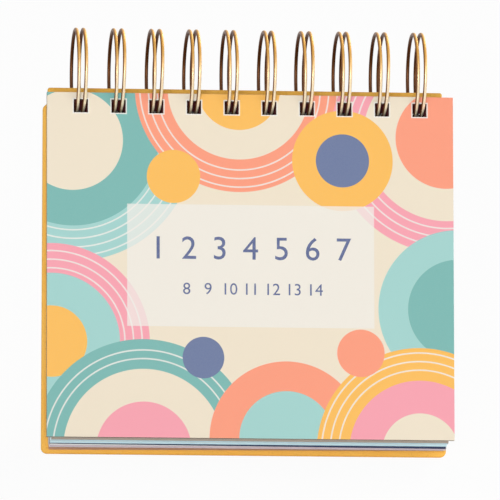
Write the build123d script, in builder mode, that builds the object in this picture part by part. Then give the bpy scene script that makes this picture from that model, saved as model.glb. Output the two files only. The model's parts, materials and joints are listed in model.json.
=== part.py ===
"""Wire-bound day calendar standing on its easel leg.

Millimetres. +X runs along the rings, -Y is towards the reader, +Z is up and z = 0 is the desk.
Every leaf hangs on the ring axis: v runs up a leaf from that axis and w runs out of it towards the reader.
"""
import math
import os

from build123d import *

os.makedirs("parts", exist_ok=True)

# Leaves
leaf_width = 134.0
leaf_height = 116.8
hole_inset = 4.5  # top edge of a leaf to the middle of its holes
month_count = 12
square_months = 3  # the first months, which lie square with the cover
month_thickness = 1.0  # the day leaves of one month
hang_step = 0.5  # each later month hangs lower on the wire by this
leaf_hang = 0.9  # until the wire is this much above the middle of its holes
title_thickness = 0.3
end_card_thickness = 0.5
end_card_height = 118.5
fan_step = 0.2  # degrees that each packet stands off the one behind it

# Front cover, a printed sheet and a lining on a raw-edged board
cover_overhang = 1.5  # the cover and the board reach this far beyond the leaves on each side
cover_width = leaf_width + 2 * cover_overhang
cover_height = 116.0
print_thickness = 0.2
cover_core_thickness = 1.6
lining_thickness = 0.2

# Punched row
hole_spacing = 12.7  # two loops to the inch
hole_margin = 7.0  # least from a side edge to the middle of a hole
hole_width = 4.8
hole_height = 4.5
hole_count = int((leaf_width - 2 * hole_margin) / hole_spacing) + 1  # as many as a leaf takes

# Twin-loop wire
wire_diameter = 1.2
ring_radius = 14.1  # middle of the wire
ring_depth = 7.0  # cover's printed face to the ring axis
hairpin_width = 2.6  # between the two wires of a loop
spine_bend_radius = 1.5  # where a loop turns into the spine
wire_tail_length = 2.0  # straight end of the spine
seam_clearance = 0.6  # hairpin tip to the spine
tip_clearance = 0.6  # back board to the bend of a hairpin tip

# Back board, wrapped in coloured paper
board_thickness = 2.5
board_hole_inset = 5.4  # top edge of the board to the middle of its holes
board_rise = 0.4  # how far the board's holes stand above the wire that rests in them
board_foot_height = 4.0  # reach below the cover
board_corner_radius = 2.0
shoulder_width = 1.6  # how much narrower each side is beside the rings
shoulder_drop = 4.5  # straight side above the shoulder
shoulder_height = 3.0
endpaper_thickness = 0.2
endpaper_border = 3.0

# Easel leg
lean = 18.0  # degrees that the board leans back
leg_slope = 16.0  # degrees that the open leg slopes the other way
leg_thickness = 2.2
leg_top_width = 84.0
leg_foot_width = 100.0
leg_corner_radius = 4.0
strip_height = 18.0
strip_gap = 2.5  # punched row to the hinge strip
cloth_thickness = 0.4
cloth_length = 14.0  # hinge cloth down the leg

# Depth of each layer, from the ring axis towards the reader
cover_thickness = print_thickness + cover_core_thickness + lining_thickness
cover_rear = ring_depth - cover_thickness
title_rear = cover_rear - title_thickness
months_rear = title_rear - month_count * month_thickness
end_card_rear = months_rear - end_card_thickness
endpaper_rear = end_card_rear - endpaper_thickness
board_rear = endpaper_rear - board_thickness
hinge_w = board_rear - cloth_thickness


def hole_row(rear, thickness):
    """Height of the ring in the middle of a layer."""
    middle = rear + thickness / 2
    return -math.sqrt(ring_radius**2 - middle**2)


# Heights on the cover and the board, from the ring axis
cover_row = hole_row(cover_rear, cover_thickness)
cover_foot = cover_row + hole_inset - cover_height
board_row = hole_row(board_rear, board_thickness) + board_rise
board_top = board_row + board_hole_inset
board_bottom = cover_foot - board_foot_height
strip_top = board_row - hole_height / 2 - strip_gap
hinge_v = strip_top - strip_height

# Packets stand off one by one, from the board to the cover
title_rank = month_count + 2
cover_rank = month_count + 3


def leaf_lean(rank):
    """Lean of a packet, counted from the board, in degrees."""
    return lean + rank * fan_step


def reach_y(v, w, tilt):
    """How far behind the ring axis a point of a leaf lies."""
    return v * math.sin(math.radians(tilt)) - w * math.cos(math.radians(tilt))


def reach_z(v, w, tilt):
    """How far above the ring axis a point of a leaf lies."""
    return v * math.cos(math.radians(tilt)) + w * math.sin(math.radians(tilt))


# The board's rear edge and the leg's foot stand on the desk, and the whole is centred on the origin
leg_back = math.sin(math.radians(leg_slope))
leg_down = math.cos(math.radians(leg_slope))
axis_z = -reach_z(board_bottom, board_rear, lean)
hinge_z = axis_z + reach_z(hinge_v, hinge_w, lean)
leg_length = hinge_z / leg_down
ring_reach = ring_radius + wire_diameter / 2
foot_reach = reach_y(hinge_v, hinge_w, lean) + leg_length * leg_back + leg_thickness * leg_down
front_reach = min(reach_y(cover_foot, ring_depth, leaf_lean(cover_rank)), -ring_reach)
axis_y = -(front_reach + max(foot_reach, ring_reach)) / 2
hinge_y = axis_y + reach_y(hinge_v, hinge_w, lean)


def leaf_plane(tilt):
    """Plane of a leaf through the ring axis, facing the reader."""
    facing = (0, -math.cos(math.radians(tilt)), math.sin(math.radians(tilt)))
    return Plane(origin=(0, axis_y, axis_z), x_dir=(1, 0, 0), z_dir=facing)


board_plane = leaf_plane(lean)
leg_plane = Plane(origin=(0, hinge_y, hinge_z), x_dir=(1, 0, 0), z_dir=(0, leg_down, leg_back))
fold_turn = (lean - leg_slope) / 2  # slope of the face where the strip and the open leg meet
fold_facing = (0, math.sin(math.radians(fold_turn)), math.cos(math.radians(fold_turn)))
fold_plane = Plane(origin=(0, hinge_y, hinge_z), x_dir=(1, 0, 0), z_dir=fold_facing)


def punched_leaf(node, rank, rear, thickness, row, width, height):
    """A leaf, packet or cover layer with the punched row near its top edge."""
    with BuildPart() as leaf:
        with BuildSketch(leaf_plane(leaf_lean(rank)).offset(rear)):
            with Locations((0, row + hole_inset)):
                Rectangle(width, height, align=(Align.CENTER, Align.MAX))
            with Locations((0, row)):
                with GridLocations(hole_spacing, hole_spacing, hole_count, 1):
                    Rectangle(hole_width, hole_height, mode=Mode.SUBTRACT)
        extrude(amount=thickness)
    leaf.part.label = node
    export_step(leaf.part, f"parts/{node}.step")


# Front cover: lining, board and printed sheet share one punched row
cover_layers = (
    ("cover_lining", lining_thickness),
    ("cover_board", cover_core_thickness),
    ("cover_print", print_thickness),
)
layer_rear = cover_rear
for layer_node, layer_thickness in cover_layers:
    punched_leaf(layer_node, cover_rank, layer_rear, layer_thickness, cover_row, cover_width, cover_height)
    layer_rear += layer_thickness

# Title leaf, month packets from the front to the back, and the end card
punched_leaf("title_leaf", title_rank, title_rear, title_thickness, cover_row, leaf_width, leaf_height)
for month in range(1, month_count + 1):
    month_node = f"month_leaves_{month:02d}"
    month_rank = title_rank - month
    month_rear = title_rear - month * month_thickness
    lowest_row = hole_row(month_rear, month_thickness) - leaf_hang
    month_row = max(lowest_row, cover_row - hang_step * max(0, month - square_months))
    punched_leaf(month_node, month_rank, month_rear, month_thickness, month_row, leaf_width, leaf_height)
card_row = hole_row(end_card_rear, end_card_thickness) - leaf_hang
punched_leaf("end_card", 1, end_card_rear, end_card_thickness, card_row, leaf_width, end_card_height)

# Back board: narrower beside the rings, with an S-shaped shoulder on each side
half_width = cover_width / 2
half_neck = half_width - shoulder_width
shoulder_top = board_top - shoulder_drop
shoulder_foot = shoulder_top - shoulder_height
with BuildPart() as back_board:
    with BuildSketch(board_plane.offset(board_rear)):
        with BuildLine():
            Line((0, board_top), (half_neck, board_top))
            Line((half_neck, board_top), (half_neck, shoulder_top))
            shoulder_middle = ((half_neck + half_width) / 2, (shoulder_top + shoulder_foot) / 2)
            flare = TangentArc((half_neck, shoulder_top), shoulder_middle, tangent=(0, -1))
            TangentArc(shoulder_middle, (half_width, shoulder_foot), tangent=flare % 1)
            FilletPolyline(
                (half_width, shoulder_foot),
                (half_width, board_bottom),
                (0, board_bottom),
                radius=board_corner_radius,
            )
            mirror(about=Plane.YZ)
        make_face()
        with Locations((0, board_row)):
            with GridLocations(hole_spacing, hole_spacing, hole_count, 1):
                Rectangle(hole_width, hole_height, mode=Mode.SUBTRACT)
    extrude(amount=board_thickness)
back_board.part.label = "back_board"
export_step(back_board.part, "parts/back_board.step")

# Endpaper that covers the wrapping paper's turned-in edges
endpaper_width = cover_width - 2 * (shoulder_width + endpaper_border)
endpaper_foot = board_bottom + endpaper_border
endpaper_top = board_top - endpaper_border / 2
with BuildPart() as back_endpaper:
    with BuildSketch(board_plane.offset(endpaper_rear)):
        with Locations((0, endpaper_top)):
            Rectangle(endpaper_width, endpaper_top - endpaper_foot, align=(Align.CENTER, Align.MAX))
        with Locations((0, board_row)):
            with GridLocations(hole_spacing, hole_spacing, hole_count, 1):
                Rectangle(hole_width, hole_height, mode=Mode.SUBTRACT)
    extrude(amount=endpaper_thickness)
back_endpaper.part.label = "back_endpaper"
export_step(back_endpaper.part, "parts/back_endpaper.step")

# Hinge strip, glued behind the board over the upper half of the hinge cloth
with BuildPart() as hinge_strip:
    with BuildSketch(board_plane.offset(hinge_w)):
        with Locations((0, hinge_v)):
            Rectangle(leg_top_width, strip_height, align=(Align.CENTER, Align.MIN))
    extrude(amount=-leg_thickness)
    split(bisect_by=fold_plane, keep=Keep.TOP)
hinge_strip.part.label = "hinge_strip"
export_step(hinge_strip.part, "parts/hinge_strip.step")

with BuildPart() as hinge_cloth_upper:
    with BuildSketch(board_plane.offset(hinge_w)):
        with Locations((0, hinge_v)):
            Rectangle(leg_top_width, strip_height, align=(Align.CENTER, Align.MIN))
    extrude(amount=cloth_thickness)
hinge_cloth_upper.part.label = "hinge_cloth_upper"
export_step(hinge_cloth_upper.part, "parts/hinge_cloth_upper.step")

# Leg: its bevelled top edge meets the strip when it is open, which stops it
with BuildPart() as easel_leg:
    with BuildSketch(leg_plane) as leg_outline:
        with BuildLine():
            Polyline(
                (-leg_top_width / 2, 0),
                (leg_top_width / 2, 0),
                (leg_foot_width / 2, leg_length),
                (-leg_foot_width / 2, leg_length),
                close=True,
            )
        make_face()
        fillet(leg_outline.vertices().group_by(Axis.Y)[-1], radius=leg_corner_radius)
    extrude(amount=leg_thickness)
    split(bisect_by=fold_plane, keep=Keep.BOTTOM)
easel_leg.part.label = "easel_leg"
export_step(easel_leg.part, "parts/easel_leg.step")

with BuildPart() as hinge_cloth_lower:
    with BuildSketch(leg_plane):
        Rectangle(leg_top_width, cloth_length, align=(Align.CENTER, Align.MIN))
    extrude(amount=-cloth_thickness)
hinge_cloth_lower.part.label = "hinge_cloth_lower"
export_step(hinge_cloth_lower.part, "parts/hinge_cloth_lower.step")

# Twin-loop wire. Angles run from straight below the ring axis, up the rear and over to the front.
rear_exit = math.degrees(math.asin(-board_rear / ring_radius))
degrees_per_mm = 180 / (math.pi * ring_radius)
tip_angle = rear_exit + tip_clearance * degrees_per_mm
tip_reach = hairpin_width / 2 + wire_diameter / 2
spine_angle = tip_angle + (tip_reach + seam_clearance + wire_diameter / 2) * degrees_per_mm
loop_angle = spine_angle + spine_bend_radius * degrees_per_mm


def on_ring(x, angle, along=0.0):
    """Point of the ring at an angle, moved along the ring's tangent there."""
    turn = math.radians(angle)
    v = -ring_radius * math.cos(turn) + along * math.sin(turn)
    w = -ring_radius * math.sin(turn) - along * math.cos(turn)
    return board_plane.from_local_coords((x, v, w))


def ring_arcs(x, start, end):
    """A wire of a loop, in two arcs of about half a turn."""
    middle = (start + end) / 2
    for first, last in ((start, middle), (middle, end)):
        ThreePointArc(on_ring(x, first), on_ring(x, (first + last) / 2), on_ring(x, last))


def spine_corner(x, side):
    """Points of the quarter bend from a wire at x to the spine on that side of it."""
    slant = math.sqrt(0.5) * spine_bend_radius
    bend = x + side * spine_bend_radius
    on_loop = on_ring(x, loop_angle)
    on_bend = on_ring(bend - side * slant, loop_angle, -slant)
    on_spine = on_ring(bend, loop_angle, -spine_bend_radius)
    return on_loop, on_bend, on_spine


tip_end = tip_angle + 360
wire_side = math.sqrt(math.pi) / 2 * wire_diameter  # flat-sided wire with the round wire's area
outward = on_ring(0, loop_angle) - board_plane.origin
spine_reach = hairpin_width / 2 + spine_bend_radius + wire_tail_length  # beyond the end loops' middles
loop_middles = [(loop - (hole_count - 1) / 2) * hole_spacing for loop in range(hole_count)]
with BuildPart() as binding_wire:
    with BuildLine() as wire_path:
        spine_end = on_ring(loop_middles[0] - spine_reach, loop_angle, -spine_bend_radius)
        for middle in loop_middles:
            left = middle - hairpin_width / 2
            right = middle + hairpin_width / 2
            left_corner = spine_corner(left, -1)
            right_corner = spine_corner(right, 1)
            Line(spine_end, left_corner[2])
            ThreePointArc(*reversed(left_corner))
            ring_arcs(left, loop_angle, tip_end)
            ThreePointArc(
                on_ring(left, tip_end), on_ring(middle, tip_end, hairpin_width / 2), on_ring(right, tip_end)
            )
            ring_arcs(right, tip_end, loop_angle)
            ThreePointArc(*right_corner)
            spine_end = right_corner[2]
        Line(spine_end, on_ring(loop_middles[-1] + spine_reach, loop_angle, -spine_bend_radius))
    wire_middle = wire_path.wire()
    with BuildSketch(Plane(origin=wire_middle @ 0, x_dir=outward, z_dir=wire_middle % 0)):
        Rectangle(wire_side, wire_side)
    sweep(path=wire_middle, clean=False)
binding_wire.part.label = "binding_wire"
export_step(binding_wire.part, "parts/binding_wire.step")

# Least gap of the wire to itself, on points along its middle
sample_count = int(wire_middle.length / wire_diameter)
wire_points = [wire_middle @ (index / sample_count) for index in range(sample_count + 1)]
bend_span = int(math.pi * hairpin_width / wire_diameter)  # points round one hairpin tip
least_gap = min(
    (here - there).length
    for index, here in enumerate(wire_points)
    for there in wire_points[index + bend_span :]
)
print(f"binding wire: length {wire_middle.length:.0f}, least gap to itself {least_gap - wire_diameter:.2f}")
print(f"ring axis at y {axis_y:.4f}, z {axis_z:.4f}; leg hinge at y {hinge_y:.4f}, z {hinge_z:.4f}")
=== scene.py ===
"""Looks of a wire-bound day calendar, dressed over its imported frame."""
import json
import math

import bmesh
import bpy
import numpy as np
from mathutils import Matrix, Vector


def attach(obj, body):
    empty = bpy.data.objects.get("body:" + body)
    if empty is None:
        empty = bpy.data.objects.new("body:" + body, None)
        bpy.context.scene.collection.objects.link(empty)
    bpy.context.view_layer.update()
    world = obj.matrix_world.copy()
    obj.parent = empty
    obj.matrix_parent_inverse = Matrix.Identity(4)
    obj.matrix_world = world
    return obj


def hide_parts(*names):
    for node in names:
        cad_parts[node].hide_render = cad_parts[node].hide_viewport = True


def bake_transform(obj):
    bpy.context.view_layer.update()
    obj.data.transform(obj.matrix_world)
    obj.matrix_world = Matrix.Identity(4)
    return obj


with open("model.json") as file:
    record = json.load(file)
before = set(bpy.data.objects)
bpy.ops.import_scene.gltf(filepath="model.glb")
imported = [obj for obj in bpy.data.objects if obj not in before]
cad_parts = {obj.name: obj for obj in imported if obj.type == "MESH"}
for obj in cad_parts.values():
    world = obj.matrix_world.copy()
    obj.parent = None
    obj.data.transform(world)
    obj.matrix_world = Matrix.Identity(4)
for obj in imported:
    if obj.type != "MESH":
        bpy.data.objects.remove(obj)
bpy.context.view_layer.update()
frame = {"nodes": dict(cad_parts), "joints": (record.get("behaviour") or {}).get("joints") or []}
nodes = frame["nodes"]
chance = np.random.default_rng(365)

# Sizes in millimetres and degrees, as the frame has them
MM = 0.001
joint_places = {joint["name"]: [part / MM for part in joint["pos_m"]] for joint in frame["joints"]}
RING_X, RING_Y, RING_Z = joint_places["cover_turn"]
FOLD_Y, FOLD_Z = joint_places["leg_fold"][1:]
LEAN = 18.0
FAN_STEP = 0.2
LEAF_WIDTH = 134.0
LEAF_HEIGHT = 116.8
CARD_HEIGHT = 118.5
COVER_HEIGHT = 116.0
HOLE_INSET = 4.5
HOLE_COUNT = 10
HOLE_SPACING = 12.7
HOLE_WIDTH = 4.8
HOLE_HEIGHT = 4.5
RING_RADIUS = 14.1
RING_DEPTH = 7.0
COVER_THICKNESS = 2.0
TITLE_THICKNESS = 0.3
MONTH_THICKNESS = 1.0
MONTH_COUNT = 12
SQUARE_MONTHS = 3
FIRST_HALF_MONTHS = 6
FIRST_LATE_MONTH = FIRST_HALF_MONTHS + 1
CARD_THICKNESS = 0.5
HANG_STEP = 0.5
LEAF_HANG = 0.9
BOARD_THICKNESS = 2.5
ENDPAPER_THICKNESS = 0.2
CARD_RANK = 1
TITLE_RANK = MONTH_COUNT + 2
COVER_LEAN = LEAN + FAN_STEP * (TITLE_RANK + 1)
HOLE_MIDDLES = (np.arange(HOLE_COUNT) - (HOLE_COUNT - 1) / 2) * HOLE_SPACING


def ring_height(w):
    """Height of the ring at a depth w: v = -sqrt(R^2 - w^2)."""
    return -math.sqrt(RING_RADIUS**2 - w**2)


COVER_ROW = ring_height(RING_DEPTH - COVER_THICKNESS / 2)
COVER_TOP = COVER_ROW + HOLE_INSET
TITLE_REAR = RING_DEPTH - COVER_THICKNESS - TITLE_THICKNESS
CARD_REAR = TITLE_REAR - MONTH_COUNT * MONTH_THICKNESS - CARD_THICKNESS
BOARD_REAR = CARD_REAR - ENDPAPER_THICKNESS - BOARD_THICKNESS


def on_leaf(u, v, w, tilt):
    """Points of a leaf that leans by tilt: u along the rings, v up the leaf from the ring axis, w out of it.

    y = ring_y + v sin t - w cos t and z = ring_z + v cos t + w sin t."""
    turn = np.radians(tilt)
    y = RING_Y + v * np.sin(turn) - w * np.cos(turn)
    z = RING_Z + v * np.cos(turn) + w * np.sin(turn)
    return np.stack(np.broadcast_arrays(RING_X + u, y, z), axis=-1) * MM


def new_piece(name, points, faces, finishes, body, replaced=(), parts=None, fields=None, smooth=False):
    """A mesh piece from arrays of points and faces, riding on a body.

    Parts gives each face's finish, and fields gives named values at the points that a finish can read."""
    mesh = bpy.data.meshes.new(name)
    mesh.from_pydata(points.reshape(-1, 3), [], [list(map(int, face)) for face in faces])
    for finish in finishes:
        mesh.materials.append(finish)
    if parts is not None:
        mesh.polygons.foreach_set("material_index", np.asarray(parts, dtype=np.int32))
    if smooth:
        mesh.polygons.foreach_set("use_smooth", np.ones(len(mesh.polygons), dtype=bool))
    mesh.validate()
    mesh.update()
    for field, values in (fields or {}).items():
        mesh.attributes.new(field, "FLOAT", "POINT").data.foreach_set("value", values)
    piece = bpy.data.objects.new(name, mesh)
    bpy.context.collection.objects.link(piece)
    if replaced:
        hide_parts(*replaced)
    if body:
        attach(piece, body)
    return piece


def slab_faces(solid):
    """Quads of a slab on a grid, with one flag per quad for the walls of its holes.

    Grid point (i, j) of the front is number i * columns + j, and of the rear that plus the grid's size. A solid
    cell gives a front and a rear quad, and a wall wherever its neighbour is empty."""
    rows, columns = solid.shape[0] + 1, solid.shape[1] + 1
    front = np.arange(rows * columns).reshape(rows, columns)
    rear = front + rows * columns
    i, j = np.nonzero(solid)
    quads = [
        np.stack((front[i, j], front[i + 1, j], front[i + 1, j + 1], front[i, j + 1]), 1),
        np.stack((rear[i, j], rear[i, j + 1], rear[i + 1, j + 1], rear[i + 1, j]), 1),
    ]
    flags = [np.zeros(len(i), dtype=int), np.zeros(len(i), dtype=int)]
    framed = np.pad(solid, 1)
    inside = np.pad(np.ones_like(solid), 1)
    sides = (((-1, 0), (0, 0), (0, 1)), ((1, 0), (1, 1), (1, 0)), ((0, -1), (1, 0), (0, 0)), ((0, 1), (0, 1), (1, 1)))
    for (down, across), start, end in sides:
        open_side = ~framed[i + 1 + down, j + 1 + across]
        a, b = i[open_side], j[open_side]
        first = (a + start[0], b + start[1])
        last = (a + end[0], b + end[1])
        quads.append(np.stack((front[first], front[last], rear[last], rear[first]), 1))
        flags.append(inside[a + 1 + down, b + 1 + across].astype(int))
    return np.concatenate(quads), np.concatenate(flags)


def punched_stack(width, height, row, rears, tilts, thickness, slips):
    """A stack of punched sheets on one grid each: columns at the sides of the holes, rows at their edges.

    Sheet k lies at depth rears[k], leans by tilts[k] and slips within its plane by slips[k], which is across, up and
    a turn t about the middle of the punched row: (a, b) goes to (a - b t, b + a t). The points' places on their
    sheets come back too."""
    holes = np.stack((HOLE_MIDDLES - HOLE_WIDTH / 2, HOLE_MIDDLES + HOLE_WIDTH / 2), 1).ravel()
    columns = np.concatenate(([-width / 2], holes, [width / 2]))
    lines = np.array([HOLE_INSET, HOLE_HEIGHT / 2, -HOLE_HEIGHT / 2, HOLE_INSET - height])
    solid = np.ones((len(lines) - 1, len(columns) - 1), dtype=bool)
    solid[1, 1::2] = False
    quads, flags = slab_faces(solid)
    count = len(rears)
    w = np.stack((rears + thickness, rears), 1)[:, :, None, None]
    across, up = np.broadcast_arrays(columns[None, :], lines[:, None])
    shift_across, shift_up, turn = slips.T[:, :, None, None, None]
    u = across - up * turn + shift_across
    v = row + up + across * turn + shift_up
    points = on_leaf(u, v, w, tilts[:, None, None, None])
    faces = (quads[None] + (np.arange(count) * 2 * across.size)[:, None, None]).reshape(-1, 4)
    places = {"across": np.tile(across.ravel(), 2 * count), "up": np.tile(up.ravel(), 2 * count)}
    return points, faces, np.tile(flags, count), places


class Field:
    """A value over a surface, held as a socket in its owner's node tree; Python's operators add Math nodes to it."""

    def __init__(self, owner, socket):
        self.owner = owner
        self.socket = socket

    def math(self, operation, *values):
        return self.owner.node("Math", {"operation": operation}, dict(enumerate((self, *values))))

    def reflected(self, operation, value):
        return self.owner.node("Math", {"operation": operation}, {0: value, 1: self})

    def __add__(self, other):
        return self.math("ADD", other)

    def __sub__(self, other):
        return self.math("SUBTRACT", other)

    def __rsub__(self, other):
        return self.reflected("SUBTRACT", other)

    def __mul__(self, other):
        return self.math("MULTIPLY", other)

    def __mod__(self, other):
        return self.math("FLOORED_MODULO", other)

    def __abs__(self):
        return self.math("ABSOLUTE")

    def __lt__(self, other):
        return self.math("LESS_THAN", other)

    def __gt__(self, other):
        return self.math("GREATER_THAN", other)

    __radd__ = __add__
    __rmul__ = __mul__


def shade(code):
    """Linear colour of an sRGB code such as F0A93C."""
    values = np.array([int(code[k : k + 2], 16) for k in (0, 2, 4)]) / 255
    linear = np.where(values <= 0.04045, values / 12.92, ((values + 0.055) / 1.055) ** 2.4)
    return (*map(float, linear), 1.0)


class Nodes:
    """A node tree, to which one method adds nodes."""

    def __init__(self, tree):
        self.tree = tree

    def node(self, kind, settings, inputs, output=0):
        """A node of a kind, with its settings set first, then its sockets' values or links; gives one output."""
        made = self.tree.nodes.new("ShaderNode" + kind)
        for name, value in settings.items():
            setattr(made, name, value)
        for key, value in inputs.items():
            if isinstance(value, Field):
                self.tree.links.new(value.socket, made.inputs[key])
            else:
                made.inputs[key].default_value = value
        return Field(self, made.outputs[output])

    def seen_rays(self):
        """1 for rays that come from the camera, a gloss or clear glass, and 0 for the others."""
        seen = self.node("LightPath", {}, {}, "Is Camera Ray")
        for ray in ("Is Glossy Ray", "Is Transmission Ray"):
            seen = seen.math("MAXIMUM", self.node("LightPath", {}, {}, ray))
        return seen

    def show(self, share, first, second, output):
        """Links a mix of two shaders to the tree's output node."""
        mixed = self.node("MixShader", {}, {0: share, 1: first, 2: second})
        self.tree.links.new(mixed.socket, self.tree.nodes[output].inputs["Surface"])


class Finish(Nodes):
    """A material: its node tree, its shader, and the fields that its patterns are drawn from, in millimetres."""

    def __init__(self, name, **constants):
        self.material = bpy.data.materials.new(name)
        self.material.use_nodes = True
        super().__init__(self.material.node_tree)
        self.shader = self.tree.nodes["Principled BSDF"]
        for socket, value in constants.items():
            self.shader.inputs[socket.replace("_", " ")].default_value = value
        self.place = self.node("TexCoord", {}, {}, "Object")

    def feed(self, **fields):
        """Links fields to the shader's sockets."""
        for socket, field in fields.items():
            self.tree.links.new(field.socket, self.shader.inputs[socket.replace("_", " ")])

    def field(self, name):
        """A piece's own field of that name."""
        return self.node("Attribute", {"attribute_name": name}, {}, "Fac")

    def along(self, direction, origin=(0.0, 0.0, 0.0)):
        """Distance of a point from an origin along a direction, in millimetres."""
        away = self.node("VectorMath", {"operation": "SUBTRACT"}, {0: self.place, 1: origin})
        scaled = tuple(part / MM for part in direction)
        return self.node("VectorMath", {"operation": "DOT_PRODUCT"}, {0: away, 1: scaled}, "Value")

    def leaf_fields(self, tilt):
        """The fields u, v and w of a leaf that leans by tilt."""
        sine, cosine = math.sin(math.radians(tilt)), math.cos(math.radians(tilt))
        origin = (RING_X * MM, RING_Y * MM, RING_Z * MM)
        up = self.along((0, sine, cosine), origin)
        return self.along((1, 0, 0), origin), up, self.along((0, -cosine, sine), origin)

    def noise(self, size, detail=3.0, stretch=(1.0, 1.0, 1.0), roughness=0.5):
        """Noise with grains of a size in millimetres, stretched along x, y and z."""
        squeeze = tuple(1 / (size * MM * part) for part in stretch)
        vector = self.node("VectorMath", {"operation": "MULTIPLY"}, {0: self.place, 1: squeeze})
        inputs = {"Vector": vector, "Scale": 1.0, "Detail": detail, "Roughness": roughness}
        return self.node("TexNoise", {}, inputs, "Fac")

    def mix(self, factor, first, second):
        """A colour between two colours."""
        return self.node("Mix", {"data_type": "RGBA"}, {0: factor, 6: first, 7: second}, 2)

    def ramp(self, value, low, high):
        """Rises smoothly from 0 at low to 1 at high, or falls where low is the greater."""
        inputs = {"Value": value, "From Min": low, "From Max": high}
        return self.node("MapRange", {"interpolation_type": "SMOOTHSTEP"}, inputs)

    def stain(self, colour, field, low, high, code, amount=1.0):
        """A colour with a tint laid over it, up to an amount, as a field goes from low to high."""
        share = self.ramp(field, low, high)
        return self.mix(share if amount == 1.0 else share * amount, colour, shade(code))

    def roughen(self, field, least, spread):
        """Roughness that a field raises from its least value by a spread."""
        self.feed(Roughness=least + field * spread)

    def relief(self, height, depth, strength):
        """A bump of a height field, depth millimetres deep, on the shader's normal."""
        inputs = {"Height": height, "Distance": depth * MM, "Strength": strength}
        self.feed(Normal=self.node("Bump", {}, inputs, "Normal"))


# Colours
CREAM = shade("F3E6CF")
MINT = shade("A5D6D1")
TEAL = shade("7CBAB4")
CORAL = shade("FF9F80")
AMBER = shade("FFC15C")
ROSE = shade("FBA5B3")
SLATE = shade("6C7BA1")
PAPER_WHITE = shade("F4F1EA")

# The cover's print: nested discs, each a centre on the cover and radii with their colours, the rearmost first
COVER_MIDDLE = COVER_TOP - COVER_HEIGHT / 2
DISCS = (
    (-60, 42, ((41, MINT), (29, TEAL), (17, CREAM))),
    (-67, -26, ((33, ROSE), (23, MINT), (12, AMBER))),
    (-4, 60, ((35, CORAL), (24, CREAM), (14, AMBER))),
    (66, 44, ((39, ROSE), (28, CREAM), (17, CORAL))),
    (31, 36, ((17, AMBER), (9, SLATE))),
    (70, -14, ((27, MINT), (17, TEAL))),
    (-36, -62, ((37, TEAL), (27, CREAM), (16, ROSE))),
    (12, -58, ((26, CORAL), (16, MINT))),
    (57, -62, ((35, AMBER), (24, ROSE), (13, CREAM))),
    (-26, 30, ((9, AMBER),)),
    (-16, -31, ((7, SLATE),)),
    (37, -29, ((8, CORAL),)),
)
EDGE_SOFTNESS = 0.06
LINE_SPACING = 2.9
LINE_WIDTH = 0.34
LINE_MARGIN = 1.2
LINE_COVER = 0.8
PANEL_HALF_WIDTH = 41.6
PANEL_HALF_HEIGHT = 20.6
PANEL_COVER = 0.72
RIM_WIDTH = 0.4
RIM_COVER = 0.85
INK_DEPTH = 0.03


def cover_print_finish():
    """Printed and matt-laminated sheet: nested discs with fine rings, a pale panel, white rims at the holes."""
    finish = Finish("cover_print", Roughness=0.5, Specular_IOR_Level=0.22)
    u, v, w = finish.leaf_fields(COVER_LEAN)
    up = v - COVER_MIDDLE
    flat = finish.node("CombineXYZ", {}, {0: u, 1: up})
    colour = CREAM
    for across, height, rings in DISCS:
        inputs = {0: flat, 1: (across, height, 0.0)}
        away = finish.node("VectorMath", {"operation": "DISTANCE"}, inputs, "Value")
        for radius, tint in rings:
            inside = finish.ramp(away, radius + EDGE_SOFTNESS, radius - EDGE_SOFTNESS)
            colour = finish.mix(inside, colour, tint)
        if len(rings) > 2:
            outer, inner = rings[0][0], rings[1][0]
            near_line = abs(away % LINE_SPACING - LINE_SPACING / 2)
            line = finish.ramp(near_line, LINE_WIDTH, LINE_WIDTH / 2)
            band = (away > inner + LINE_MARGIN) * (away < outer - LINE_MARGIN)
            colour = finish.mix(line * band * LINE_COVER, colour, PAPER_WHITE)
    side = finish.ramp(abs(u), PANEL_HALF_WIDTH + EDGE_SOFTNESS, PANEL_HALF_WIDTH - EDGE_SOFTNESS)
    rise = finish.ramp(abs(up), PANEL_HALF_HEIGHT + EDGE_SOFTNESS, PANEL_HALF_HEIGHT - EDGE_SOFTNESS)
    colour = finish.mix(side * rise * PANEL_COVER, colour, PAPER_WHITE)
    beside = abs(u % HOLE_SPACING - HOLE_SPACING / 2) - HOLE_WIDTH / 2
    above = abs(v - COVER_ROW) - HOLE_HEIGHT / 2
    rim = finish.ramp(beside.math("MAXIMUM", above), RIM_WIDTH + EDGE_SOFTNESS, RIM_WIDTH - EDGE_SOFTNESS)
    row = abs(u) < HOLE_COUNT * HOLE_SPACING / 2
    colour = finish.mix(rim * row * RIM_COVER, colour, PAPER_WHITE)
    cut = finish.ramp(RING_DEPTH - w, INK_DEPTH, 2 * INK_DEPTH)
    colour = finish.mix(cut, colour, PAPER_WHITE)
    mottle = finish.noise(size=0.35, detail=4.0)
    finish.feed(Base_Color=finish.stain(colour, mottle, 0.2, 0.8, "D8D0C2", amount=0.05))
    finish.roughen(mottle, least=0.44, spread=0.14)
    finish.relief(mottle, depth=0.012, strength=0.6)
    return finish.material


PLY_THICKNESS = 0.4
PLY_WANDER = 0.12


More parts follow.
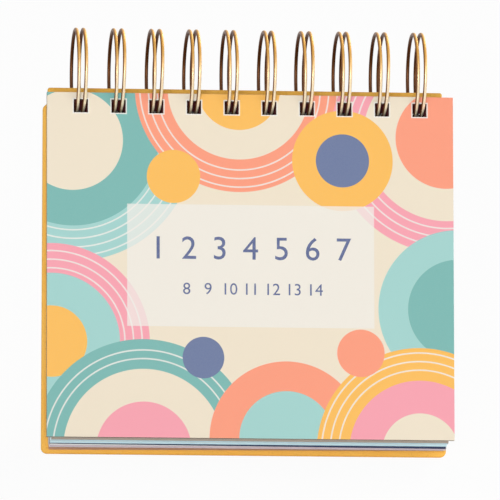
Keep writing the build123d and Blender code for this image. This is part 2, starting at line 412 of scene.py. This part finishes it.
def greyboard_finish():
    """Raw greyboard: plies seen along its edge, pale and dark fibres."""
    finish = Finish("greyboard", Roughness=0.9, Specular_IOR_Level=0.2)
    w = finish.leaf_fields(COVER_LEAN)[2]
    fibre = finish.noise(size=0.25, detail=5.0, stretch=(6.0, 1.0, 1.0))
    fleck = finish.noise(size=0.6, detail=2.0)
    from_seam = abs((w + fibre * PLY_WANDER) % PLY_THICKNESS - PLY_THICKNESS / 2)
    ply = finish.ramp(from_seam, 0.02, 0.12)
    colour = finish.mix(ply, shade("5C4E42"), shade("8C7E6E"))
    colour = finish.stain(colour, fibre, 0.55, 0.75, "D2C8B6", amount=0.5)
    colour = finish.stain(colour, fleck, 0.62, 0.7, "5C544B", amount=0.5)
    finish.feed(Base_Color=colour)
    finish.relief(fibre + ply * 0.5, depth=0.05, strength=0.7)
    return finish.material


CLOUD_SHARE = 0.12
FIBRE_SHARE = 0.4
TOOTH_SPREAD = 0.2
# Size of the painted shade band along the punched row, which stands in for the shade inside the holes
HOLE_SHADE_HALF_WIDTH = 65.5
HOLE_SHADE_HALF_HEIGHT = 3.3
RULE_HALF_WIDTH = 56.0
RULE_TOP = -56.0
RULE_FOOT = -106.0
RULE_SPACING = 7.0
RULE_WIDTH = 0.2
RULE_COVER = 0.7


def paper_finish(name, code, shadow_code, grain=0.3, rough=0.85, band=False, rules=False):
    """Uncoated paper: a tint with soft clouding, short fibres and a fine tooth.

    A day leaf also has ruled lines printed on its lower half and a band of painted shade, dark maroon, along its
    punched row, standing in for the shade inside the holes."""
    finish = Finish(name, Roughness=rough, Specular_IOR_Level=0.25)
    cloud = finish.noise(size=9.0, detail=3.0)
    tooth = finish.noise(size=grain, detail=4.0)
    fibre = finish.noise(size=0.5, detail=2.0, stretch=(5.0, 1.0, 1.0))
    spread = finish.ramp(cloud, 0.25, 0.75) * CLOUD_SHARE + finish.ramp(fibre, 0.5, 0.8) * FIBRE_SHARE
    colour = finish.mix(spread, shade(code), shade(shadow_code))
    # Painted shade, not print: a dark maroon band over the punched row stands in for the shade inside the holes.
    if band:
        inside = (abs(finish.field("across")) < HOLE_SHADE_HALF_WIDTH) * (abs(finish.field("up")) < HOLE_SHADE_HALF_HEIGHT)
        colour = finish.mix(inside, colour, shade("5E2229"))
    if rules:
        up = finish.field("up")
        line = finish.ramp(abs(up % RULE_SPACING - RULE_SPACING / 2), RULE_WIDTH, RULE_WIDTH / 2)
        ruled = (abs(finish.field("across")) < RULE_HALF_WIDTH) * (up < RULE_TOP) * (up > RULE_FOOT)
        colour = finish.mix(line * ruled * RULE_COVER, colour, shade("8FA3B4"))
    finish.feed(Base_Color=colour)
    finish.roughen(tooth, least=rough - TOOTH_SPREAD / 2, spread=TOOTH_SPREAD)
    finish.relief(tooth, depth=0.02, strength=0.5)
    return finish.material


def wrap_finish():
    """Wrapping paper on board: warm yellow with a fine crossed tooth and slight rubbing."""
    finish = Finish("yellow_wrap", Roughness=0.6, Specular_IOR_Level=0.35)
    weft = finish.noise(size=0.28, detail=2.0, stretch=(4.0, 1.0, 1.0))
    warp = finish.noise(size=0.28, detail=2.0, stretch=(1.0, 4.0, 4.0))
    tooth = weft + warp
    cloud = finish.noise(size=14.0, detail=3.0)
    rub = finish.noise(size=2.2, detail=5.0, roughness=0.65)
    colour = finish.stain(shade("FFBE4C"), cloud, 0.25, 0.75, "FFC85C", amount=0.6)
    colour = finish.stain(colour, rub, 0.58, 0.78, "FFD680", amount=0.35)
    colour = finish.stain(colour, tooth, 1.05, 1.35, "D18D2C", amount=0.3)
    finish.feed(Base_Color=colour)
    finish.roughen(weft, least=0.52, spread=0.2)
    finish.relief(tooth, depth=0.03, strength=0.6)
    return finish.material


THREAD_SPACING = 0.3


def cloth_finish():
    """Woven hinge cloth: crossed threads, raised by turns."""
    finish = Finish("hinge_cloth", Roughness=0.9, Specular_IOR_Level=0.2)
    lean = math.radians(LEAN)
    across, along = (
        (finish.along(direction) * (math.pi / THREAD_SPACING)).math("SINE")
        for direction in ((1, 0, 0), (0, math.sin(lean), math.cos(lean)))
    )
    weave = across * along
    slub = finish.noise(size=1.6, detail=3.0, stretch=(6.0, 1.0, 1.0))
    colour = finish.stain(shade("A9702A"), weave, -0.8, 0.8, "D39B45")
    colour = finish.stain(colour, slub, 0.5, 0.75, "E3B265", amount=0.4)
    finish.feed(Base_Color=colour)
    finish.relief(weave, depth=0.06, strength=0.8)
    return finish.material


# Painted highlight on the wire: the heights where its pale cream starts and is full, and the metal it takes away
HIGHLIGHT_FROM = 8.0
HIGHLIGHT_TO = -12.0
HIGHLIGHT_METAL_LOSS = 0.55
WIRE_METAL = 0.85
# Weight of the painted shade on the wire's left side
LEFT_SHADING = 0.85


def wire_finish():
    """Lacquered gold wire with fine drawing marks, a painted highlight low on the loops, painted shade at sides and
    inside.
    """
    finish = Finish("gold_wire")
    inward = finish.field("inward")
    marks = finish.noise(size=0.5, detail=3.0)
    # Painted highlight: the loops turn pale cream and less metallic towards their lower front, near the holes.
    lower = finish.ramp(finish.leaf_fields(LEAN)[1], HIGHLIGHT_FROM, HIGHLIGHT_TO)
    colour = finish.mix(lower, shade("D6A250"), shade("FFF0D0"))
    colour = finish.stain(colour, marks, 0.5, 0.8, "BD8C40", amount=0.3)
    # Painted shade: brown on the wire's sides, most on its left, and dark brown on the inner side of the loops.
    left_side_shade = inward + finish.field("leftward") * LEFT_SHADING
    colour = finish.stain(colour, left_side_shade, -0.85, -0.25, "7A4A18")
    colour = finish.stain(colour, inward, -0.2, 0.5, "57300E")
    finish.feed(Base_Color=colour)
    finish.feed(Metallic=WIRE_METAL - lower * HIGHLIGHT_METAL_LOSS)
    finish.roughen(marks, least=0.34, spread=0.16)
    finish.relief(marks, depth=0.01, strength=0.4)
    return finish.material


def ink_finish():
    """Printed ink, slightly uneven."""
    finish = Finish("slate_ink", Roughness=0.55, Specular_IOR_Level=0.3)
    uneven = finish.noise(size=0.8, detail=4.0)
    finish.feed(Base_Color=finish.stain(shade("5A658F"), uneven, 0.3, 0.8, "6E799F"))
    return finish.material


# Leaves: every packet is a stack of separate sheets, a little out of line with each other
FAN_SHARE = 0.9
SIDE_TRIM = 0.25
SHEET_SLIP = 0.06
SLIP_LIMIT = 0.1
LATE_TURN = math.radians(0.23)
LATE_DROP = 0.28
LEVEL_MONTH = 11
LATE_TRIM = 0.8
CARD_TURN = math.radians(0.35)
CARD_TRIM = 0.2
DIVIDER_MONTH = 5
DIVIDER_SLIP = (0.3, 0.0, math.radians(-0.22))
SHEETS_PER_MONTH = 8
SHEET_FILL = 0.93
# Painted shade: the walls of the punched holes take near-black maroon paper, standing in for the shade deep inside
# the holes.
hole_wall_painted_shade = paper_finish("hole_wall_painted_shade", "3A1D17", "1F0E0A")


def leaf_tilt(rank, step):
    """Lean of a sheet that lies at a step from 0 to 1 through the packet of a rank: the packets fan out evenly."""
    return LEAN + FAN_STEP * (rank + FAN_SHARE * step)


def leaf_piece(
    name, rank, rear, thickness, row, height, finishes, body, sheets=1, rise=0.0, turn=0.0, divider=None
):
    """One packet as sheets that share its thickness and fan out evenly to the next packet.

    Rise and turn are how the whole packet sits on the wire, with its foot kept where it is. Sheet k takes finish k of
    the finishes in turn, and the walls of its holes take the dark finish. A divider finish makes the foremost sheet a
    divider, which hangs a little askew."""
    step = np.arange(sheets) / sheets
    slips = np.full((sheets, 3), turn)
    slips[:, :2] = np.clip(chance.normal(0.0, SHEET_SLIP, (sheets, 2)), -SLIP_LIMIT, SLIP_LIMIT)
    slips[:, 1] += rise
    if divider:
        slips[-1] = DIVIDER_SLIP
    rears = rear + thickness * step
    sheet = thickness / sheets * SHEET_FILL
    width = LEAF_WIDTH - 2 * SIDE_TRIM
    height += rise - SLIP_LIMIT
    points, faces, holes, places = punched_stack(width, height, row, rears, leaf_tilt(rank, step), sheet, slips)
    kinds = np.arange(sheets) % len(finishes)
    finishes = (*finishes, hole_wall_painted_shade)
    if divider:
        kinds[-1] = len(finishes)
        finishes = (*finishes, divider)
    # Hole walls take the painted shade finish; every other face takes its sheet's paper.
    parts = np.where(holes, finishes.index(hole_wall_painted_shade), np.repeat(kinds, len(faces) // sheets))
    new_piece(name, points, faces, finishes, body, (name,), parts, places)


blue_paper = paper_finish("leaf_blue", "CDE7EE", "AFD2DC", band=True, rules=True)
white_paper = paper_finish("leaf_white", "F1F2EC", "D8DCD9", band=True, rules=True)
mauve_paper = paper_finish("leaf_mauve", "D2C2C9", "B5A4AE", band=True, rules=True)
grey_paper = paper_finish("leaf_grey", "D8D4CF", "B5AFAB", band=True, rules=True)
# Painted shade: the title leaf is a dull brownish grey, so its foot under the cover reads as the cover's shadow.
title_paper = paper_finish("title_paper", "ADA296", "968B80", band=True)
divider_paper = paper_finish("divider_blue", "3F4763", "2C334B", band=True)
# The end card's warm brown is partly its own kraft colour and partly painted shade: its foot stands in for the
# reddish shadow under the leaves.
card_kraft_and_shade = paper_finish("end_card", "C6977A", "A97A60", grain=0.6, rough=0.7)
early_papers = (blue_paper, blue_paper, white_paper, blue_paper)
middle_papers = (mauve_paper, mauve_paper, white_paper, mauve_paper)
late_papers = (grey_paper, white_paper, grey_paper, mauve_paper)

leaf_piece(
    "title_leaf",
    TITLE_RANK,
    rear=TITLE_REAR,
    thickness=TITLE_THICKNESS,
    row=COVER_ROW,
    height=LEAF_HEIGHT,
    finishes=(title_paper,),
    body="first_half",
)
for month in range(1, MONTH_COUNT + 1):
    late = month >= FIRST_LATE_MONTH
    month_rear = TITLE_REAR - month * MONTH_THICKNESS
    lowest_row = ring_height(month_rear + MONTH_THICKNESS / 2) - LEAF_HANG
    level = (month - FIRST_LATE_MONTH) / (LEVEL_MONTH - FIRST_LATE_MONTH)
    leaf_piece(
        f"month_leaves_{month:02d}",
        TITLE_RANK - month,
        rear=month_rear,
        thickness=MONTH_THICKNESS,
        row=max(lowest_row, COVER_ROW - HANG_STEP * max(0, month - SQUARE_MONTHS)),
        height=LEAF_HEIGHT - LATE_TRIM if late else LEAF_HEIGHT,
        finishes=late_papers if late else middle_papers if month >= DIVIDER_MONTH else early_papers,
        body="second_half" if late else "first_half",
        sheets=SHEETS_PER_MONTH,
        rise=LATE_DROP * (level - 1) if late else 0.0,
        turn=LATE_TURN if late else 0.0,
        divider=divider_paper if month == DIVIDER_MONTH else None,
    )
leaf_piece(
    "end_card",
    CARD_RANK,
    rear=CARD_REAR,
    thickness=CARD_THICKNESS,
    row=ring_height(CARD_REAR + CARD_THICKNESS / 2) - LEAF_HANG,
    height=CARD_HEIGHT - CARD_TRIM,
    finishes=(card_kraft_and_shade,),
    body="second_half",
    turn=CARD_TURN,
)

# Twin-loop wire
WIRE_RADIUS = 0.6
LOOP_INSET = 0.08
LOOP_RADIUS = RING_RADIUS - LOOP_INSET
HAIRPIN_WIDTH = 2.6
SPINE_BEND = 1.5
WIRE_TAIL = 2.0
SEAM_CLEARANCE = 0.6
TIP_CLEARANCE = 0.6
WIRE_SIDES = 14
LOOP_STEPS = 72
BEND_STEPS = 8
LOOP_LEAN = 0.22
LOOP_SPREAD = 0.12
HAIRPIN_PINCH = 0.24
SAME_POINT = 0.0001
DEGREES_PER_MM = math.degrees(1 / RING_RADIUS)
TIP_ANGLE = math.degrees(math.asin(-BOARD_REAR / RING_RADIUS)) + TIP_CLEARANCE * DEGREES_PER_MM
LOOP_ANGLE = TIP_ANGLE + (HAIRPIN_WIDTH / 2 + 2 * WIRE_RADIUS + SEAM_CLEARANCE + SPINE_BEND) * DEGREES_PER_MM
TIP_END = TIP_ANGLE + 360
HOLE_ANGLE = 360 - math.degrees(math.asin((RING_DEPTH - COVER_THICKNESS / 2) / RING_RADIUS))


def ring_points(x, angle, along=0.0):
    """Points on the ring at angles from straight below it, up the rear, moved along the ring's tangent.

    v = -R cos a + s sin a and w = -R sin a - s cos a."""
    turn = np.radians(angle)
    v = -LOOP_RADIUS * np.cos(turn) + along * np.sin(turn)
    w = -LOOP_RADIUS * np.sin(turn) - along * np.cos(turn)
    return on_leaf(x, v, w, LEAN)


def wire_path():
    """The middle of the wire and the way out of the ring at each point, loop after loop along the spine.

    A loop is a quarter bend, a ring, a half-round hairpin tip, the ring back and a quarter bend. Its top leans and
    spreads by sin^2 of how far round the free part of the ring it is, and its legs close up by the square of how far
    they are past the top."""
    quarter = np.linspace(0, math.pi / 2, BEND_STEPS)
    half = np.linspace(math.pi, 0, 2 * BEND_STEPS)[1:-1]
    round_ring = np.linspace(LOOP_ANGLE, TIP_END, LOOP_STEPS)
    free = np.clip((round_ring - LOOP_ANGLE) / (HOLE_ANGLE - LOOP_ANGLE), 0, 1)
    swing = np.sin(math.pi * free) ** 2
    pinch = HAIRPIN_PINCH * np.clip(2 * free - 1, 0, 1) ** 2
    tip_radius = HAIRPIN_WIDTH / 2 - HAIRPIN_PINCH
    lines, angles = [], []
    for middle in HOLE_MIDDLES:
        lean, spread = chance.uniform(-1, 1, 2) * (LOOP_LEAN, LOOP_SPREAD)
        left = middle - HAIRPIN_WIDTH / 2
        right = middle + HAIRPIN_WIDTH / 2
        sections = (
            (left - SPINE_BEND + SPINE_BEND * np.cos(quarter[::-1]), LOOP_ANGLE, -SPINE_BEND * np.sin(quarter[::-1])),
            (left + (lean - spread) * swing + pinch, round_ring, 0.0),
            (middle + tip_radius * np.cos(half), TIP_END, tip_radius * np.sin(half)),
            ((right + (lean + spread) * swing - pinch)[::-1], round_ring[::-1], 0.0),
            (right + SPINE_BEND - SPINE_BEND * np.cos(quarter), LOOP_ANGLE, -SPINE_BEND * np.sin(quarter)),
        )
        for across, angle, along in sections:
            lines.append(ring_points(across, angle, along))
            angles.append(np.broadcast_to(angle, len(across)))
    start = ring_points(HOLE_MIDDLES[:1] - HAIRPIN_WIDTH / 2 - SPINE_BEND - WIRE_TAIL, LOOP_ANGLE, -SPINE_BEND)
    end = ring_points(HOLE_MIDDLES[-1:] + HAIRPIN_WIDTH / 2 + SPINE_BEND + WIRE_TAIL, LOOP_ANGLE, -SPINE_BEND)
    path = np.concatenate((start, *lines, end))
    turn = np.radians(np.concatenate(([LOOP_ANGLE], *angles, [LOOP_ANGLE])))
    axis = np.array([0.0, RING_Y, RING_Z]) * MM
    outward = on_leaf(0.0, -np.cos(turn), -np.sin(turn), LEAN) - axis
    keep = np.concatenate(([True], np.linalg.norm(np.diff(path, axis=0), axis=1) > SAME_POINT * MM))
    return path[keep], outward[keep] / np.linalg.norm(outward[keep], axis=1, keepdims=True)


def wire_tube():
    """A round tube on the wire's path: p + r (cos f n + sin f b), with n out of the ring and b across it."""
    path, outward = wire_path()
    ahead = np.gradient(path, axis=0)
    ahead /= np.linalg.norm(ahead, axis=1, keepdims=True)
    across = np.cross(ahead, outward)
    across /= np.linalg.norm(across, axis=1, keepdims=True)
    normal = np.cross(across, ahead)
    turn = np.linspace(0, 2 * math.pi, WIRE_SIDES, endpoint=False)
    ring = np.cos(turn)[None, :, None] * normal[:, None] + np.sin(turn)[None, :, None] * across[:, None]
    points = path[:, None] + WIRE_RADIUS * MM * ring
    count = len(path)
    grid = np.arange(count * WIRE_SIDES).reshape(count, WIRE_SIDES)
    beside = np.roll(grid, -1, axis=1)
    quads = np.stack((grid[:-1], beside[:-1], beside[1:], grid[1:]), -1).reshape(-1, 4)
    faces = [*quads.tolist(), grid[0][::-1].tolist(), grid[-1].tolist()]
    fields = {"inward": np.tile(-np.cos(turn), count), "leftward": -ring[..., 0].ravel()}
    return points, faces, fields


wire_points, wire_faces, wire_fields = wire_tube()
new_piece(
    "binding_wire_round",
    wire_points,
    wire_faces,
    (wire_finish(),),
    "stand",
    ("binding_wire",),
    fields=wire_fields,
    smooth=True,
)

# Boards: copies of the wrapped boards with their edges rounded over
BOARD_ROUNDING = 0.8
LEG_ROUNDING = 0.6
ROUNDING_STEPS = 4
SHARP_ANGLE = math.radians(35)
FLAT_ANGLE = math.radians(1)
MERGE_DISTANCE = 0.001
yellow_wrap = wrap_finish()


def wrapped_board(node, body, radius):
    """A board's own shape with its doubles merged, its flat faces joined and its sharp edges rounded."""
    shape = bmesh.new()
    shape.from_mesh(nodes[node].data)
    bmesh.ops.remove_doubles(shape, verts=shape.verts, dist=MERGE_DISTANCE * MM)
    bmesh.ops.dissolve_limit(shape, angle_limit=FLAT_ANGLE, verts=shape.verts, edges=shape.edges)
    mesh = bpy.data.meshes.new(node + "_wrapped")
    shape.to_mesh(mesh)
    shape.free()
    mesh.materials.clear()
    mesh.materials.append(yellow_wrap)
    mesh.polygons.foreach_set("material_index", np.zeros(len(mesh.polygons), dtype=np.int32))
    mesh.polygons.foreach_set("use_smooth", np.ones(len(mesh.polygons), dtype=bool))
    piece = bpy.data.objects.new(node + "_wrapped", mesh)
    bpy.context.collection.objects.link(piece)
    rounding = piece.modifiers.new("rounding", "BEVEL")
    rounding.width = radius * MM
    rounding.segments = ROUNDING_STEPS
    rounding.limit_method = "ANGLE"
    rounding.angle_limit = SHARP_ANGLE
    rounding.harden_normals = True
    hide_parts(node)
    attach(piece, body)


wrapped_board("back_board", "stand", BOARD_ROUNDING)
wrapped_board("hinge_strip", "stand", LEG_ROUNDING)
wrapped_board("easel_leg", "leg", LEG_ROUNDING)

# Hinge cloth, one strip from under the hinge strip to the inner face of the leg
LEG_SLOPE = 16.0
CLOTH_THICKNESS = 0.4
STRIP_HEIGHT = 18.0
CLOTH_LENGTH = 14.0
CLOTH_WIDTH = 84.0
CLOTH_ROWS = 10
BLEND_REACH = 1.2


def hinge_cloth():
    """A strip of cloth that follows the board down to the fold and then the leg.

    From the fold the rear face runs up along (0, sin lean, cos lean) and down along (0, sin slope, -cos slope); the
    front face is that line moved forward by the cloth's thickness, square to it."""
    lean, slope = math.radians(LEAN), math.radians(LEG_SLOPE)
    fold = np.array([FOLD_Y, FOLD_Z])
    above = np.linspace(STRIP_HEIGHT, 0, CLOTH_ROWS)[:, None] * np.array([[math.sin(lean), math.cos(lean)]])
    below = np.linspace(0, CLOTH_LENGTH, CLOTH_ROWS)[1:, None] * np.array([[math.sin(slope), -math.cos(slope)]])
    rear = fold + np.concatenate((above, below))
    over = np.tile([[-math.cos(lean), math.sin(lean)]], (CLOTH_ROWS, 1))
    under = np.tile([[-math.cos(slope), -math.sin(slope)]], (CLOTH_ROWS - 1, 1))
    front = rear + CLOTH_THICKNESS * np.concatenate((over, under))
    front[CLOTH_ROWS - 1] = fold + CLOTH_THICKNESS * np.array([-1.0, 0.0]) / math.cos((lean + slope) / 2)
    u = np.array([-CLOTH_WIDTH / 2, CLOTH_WIDTH / 2])
    lines = np.stack((front, rear))
    points = np.empty((2, len(rear), 2, 3))
    points[..., 0] = u
    points[..., 1:] = lines[:, :, None, :]
    faces = slab_faces(np.ones((len(rear) - 1, 1), dtype=bool))[0]
    return points * MM, faces


cloth_points, cloth_faces = hinge_cloth()
cloth = new_piece(
    "hinge_cloth",
    cloth_points,
    cloth_faces,
    (cloth_finish(),),
    None,
    ("hinge_cloth_upper", "hinge_cloth_lower"),
)
FOLD_Y * MM
(FOLD_Z + BLEND_REACH) * MM
FOLD_Y * MM
(FOLD_Z - BLEND_REACH) * MM
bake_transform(cloth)

# Flat papers and the cover keep their solids
flat_papers = {
    "cover_print": cover_print_finish(),
    "cover_board": greyboard_finish(),
    "cover_lining": paper_finish("lining_paper", "F6EBD2", "E6D5B2"),
    "back_endpaper": paper_finish("endpaper", "F7E3B4", "EACB8A"),
}
for node, finish in flat_papers.items():
    nodes[node].data.materials.clear()
    nodes[node].data.materials.append(finish)

# Plain numbers in print
INK_THICKNESS = 0.012
CURVE_STEPS = 4
slate_ink = ink_finish()


def numbers(name, entries, w, tilt, body):
    """Printed numbers as one thin mesh; an entry is its text, its middle on the leaf and its height."""
    points, faces = [], []
    offset = 0
    for text, u, v, size in entries:
        curve = bpy.data.curves.new(name, "FONT")
        curve.body = text
        curve.align_x = "CENTER"
        curve.align_y = "CENTER"
        curve.size = 1.0
        curve.extrude = INK_THICKNESS / size
        curve.resolution_u = CURVE_STEPS
        letter = bpy.data.objects.new(name, curve)
        bpy.context.collection.objects.link(letter)
        mesh = bpy.data.meshes.new_from_object(letter.evaluated_get(bpy.context.evaluated_depsgraph_get()))
        spots = np.empty(3 * len(mesh.vertices))
        mesh.vertices.foreach_get("co", spots)
        spots = spots.reshape(-1, 3) * size
        points.append(on_leaf(spots[:, 0] + u, spots[:, 1] + v, spots[:, 2] + w + INK_THICKNESS, tilt))
        faces += [[corner + offset for corner in face.vertices] for face in mesh.polygons]
        offset += len(spots)
        bpy.data.objects.remove(letter)
        bpy.data.meshes.remove(mesh)
        bpy.data.curves.remove(curve)
    new_piece(name, np.concatenate(points), faces, (slate_ink,), body)


# The panel's two rows: the numbers, their middle one, their spacing, their height on the cover and their size
PANEL_ROWS = ((range(1, 8), 4, 10.4, 5.5, 11.0), (range(8, 15), 11, 7.2, -8.0, 5.6))
cover_numbers = [
    (str(k), (k - middle) * spacing, COVER_MIDDLE + height, size)
    for row, middle, spacing, height, size in PANEL_ROWS
    for k in row
]
numbers("cover_numbers", cover_numbers, RING_DEPTH, COVER_LEAN, "cover")

# The title leaf's twelve months in three rows of four
TITLE_COLUMNS = 4
TITLE_PITCH = (26.0, -24.0)
TITLE_TOP = -44.0
TITLE_SIZE = 13.0
title_numbers = [
    (
        str(k + 1),
        (k % TITLE_COLUMNS - (TITLE_COLUMNS - 1) / 2) * TITLE_PITCH[0],
        TITLE_TOP + k // TITLE_COLUMNS * TITLE_PITCH[1],
        TITLE_SIZE,
    )
    for k in range(MONTH_COUNT)
]
title_front = TITLE_REAR + TITLE_THICKNESS * SHEET_FILL
numbers("title_numbers", title_numbers, title_front, leaf_tilt(TITLE_RANK, 0), "first_half")

# The day on the first leaf of the second half
PAGE_NUMBER = ("15", 0.0, -36.0, 34.0)
top_step = 1 - 1 / SHEETS_PER_MONTH
page_front = TITLE_REAR - FIRST_LATE_MONTH * MONTH_THICKNESS
page_front += MONTH_THICKNESS * (top_step + SHEET_FILL / SHEETS_PER_MONTH)
page_tilt = leaf_tilt(TITLE_RANK - FIRST_LATE_MONTH, top_step)
numbers("page_number", [PAGE_NUMBER], page_front, page_tilt, "second_half")

# Stage, in metres; a lamp is its name, place, size and power
WHITE = (1.0, 1.0, 1.0, 1.0)
FLOOR_REACH = 6.0
FLOOR_GLOW = 0.95
WORLD_LIGHT = 0.24
LAMP_AIM = Vector((0.0, 0.0, 0.06))
LAMPS = (
    ("key_lamp", (1.8, -3.2, 2.1), 1.8, 18.0),
    ("front_lamp", (-0.7, -4.15, 0.92), 1.2, 96.0),
    ("back_lamp", (3.0, 3.4, 2.3), 2.0, 86.0),
    ("right_lamp", (4.2, 0.5, 0.9), 1.6, 50.0),
    ("left_lamp", (-4.2, 0.5, 0.9), 1.6, 12.0),
)


def white_floor():
    """A wide plain floor, white to the eye and in reflections, with the object's shadow on it."""
    finish = Finish("floor", Roughness=0.9, Specular_IOR_Level=0.1)
    grain = finish.noise(size=40.0, detail=2.0)
    finish.feed(Base_Color=finish.mix(grain, shade("F8F8F8"), shade("FCFCFC")))
    glow = finish.node("Emission", {}, {"Color": WHITE, "Strength": 1.0})
    lit = Field(finish, finish.shader.outputs["BSDF"])
    finish.show(finish.seen_rays() * FLOOR_GLOW, lit, glow, "Material Output")
    corners = np.array([(-1, -1, 0), (1, -1, 0), (1, 1, 0), (-1, 1, 0)]) * FLOOR_REACH
    mesh = bpy.data.meshes.new("floor")
    mesh.from_pydata(corners, [], [[0, 1, 2, 3]])
    mesh.materials.append(finish.material)
    floor = bpy.data.objects.new("floor", mesh)
    bpy.context.collection.objects.link(floor)


def soft_lamp(name, place, size, power):
    """A square area lamp at a place, turned to the object."""
    lamp = bpy.data.lights.new(name, "AREA")
    lamp.size = size
    lamp.energy = power
    holder = bpy.data.objects.new(name, lamp)
    holder.location = place
    holder.rotation_mode = "QUATERNION"
    holder.rotation_quaternion = (LAMP_AIM - Vector(place)).to_track_quat("-Z", "Y")
    bpy.context.collection.objects.link(holder)


def white_world():
    """A plain world: soft light on the object, and white to the eye and in reflections."""
    world = bpy.data.worlds.new("studio")
    world.use_nodes = True
    bpy.context.scene.world = world
    world.node_tree.nodes.remove(world.node_tree.nodes["Background"])
    sky = Nodes(world.node_tree)
    light = sky.node("Background", {}, {"Color": WHITE, "Strength": WORLD_LIGHT})
    white = sky.node("Background", {}, {"Color": WHITE, "Strength": 1.0})
    sky.show(sky.seen_rays(), light, white, "World Output")


white_floor()
for lamp in LAMPS:
    soft_lamp(*lamp)
white_world()

# Camera at the photograph's angle
AZIMUTH = -6.45
ELEVATION = 13.34
ROLL = 2.2
DISTANCE = 3.0
LENS = 641.6
SENSOR = 36.0
FAR_CLIP = 50.0
AIM = Vector((1.51, RING_Y - 12.47, RING_Z - 58.05)) * MM
turn, rise = math.radians(AZIMUTH), math.radians(ELEVATION)
back = Vector((math.sin(turn) * math.cos(rise), -math.cos(turn) * math.cos(rise), math.sin(rise)))
camera_data = bpy.data.cameras.new("camera")
camera_data.lens = LENS
camera_data.sensor_width = SENSOR
camera_data.clip_end = FAR_CLIP
camera = bpy.data.objects.new("camera", camera_data)
bpy.context.collection.objects.link(camera)
facing = (-back).to_track_quat("-Z", "Y").to_matrix().to_4x4()
camera.matrix_world = Matrix.Translation(AIM + back * DISTANCE) @ facing @ Matrix.Rotation(math.radians(ROLL), 4, "Z")
bpy.context.scene.camera = camera

bpy.context.scene.view_settings.view_transform = "Standard"
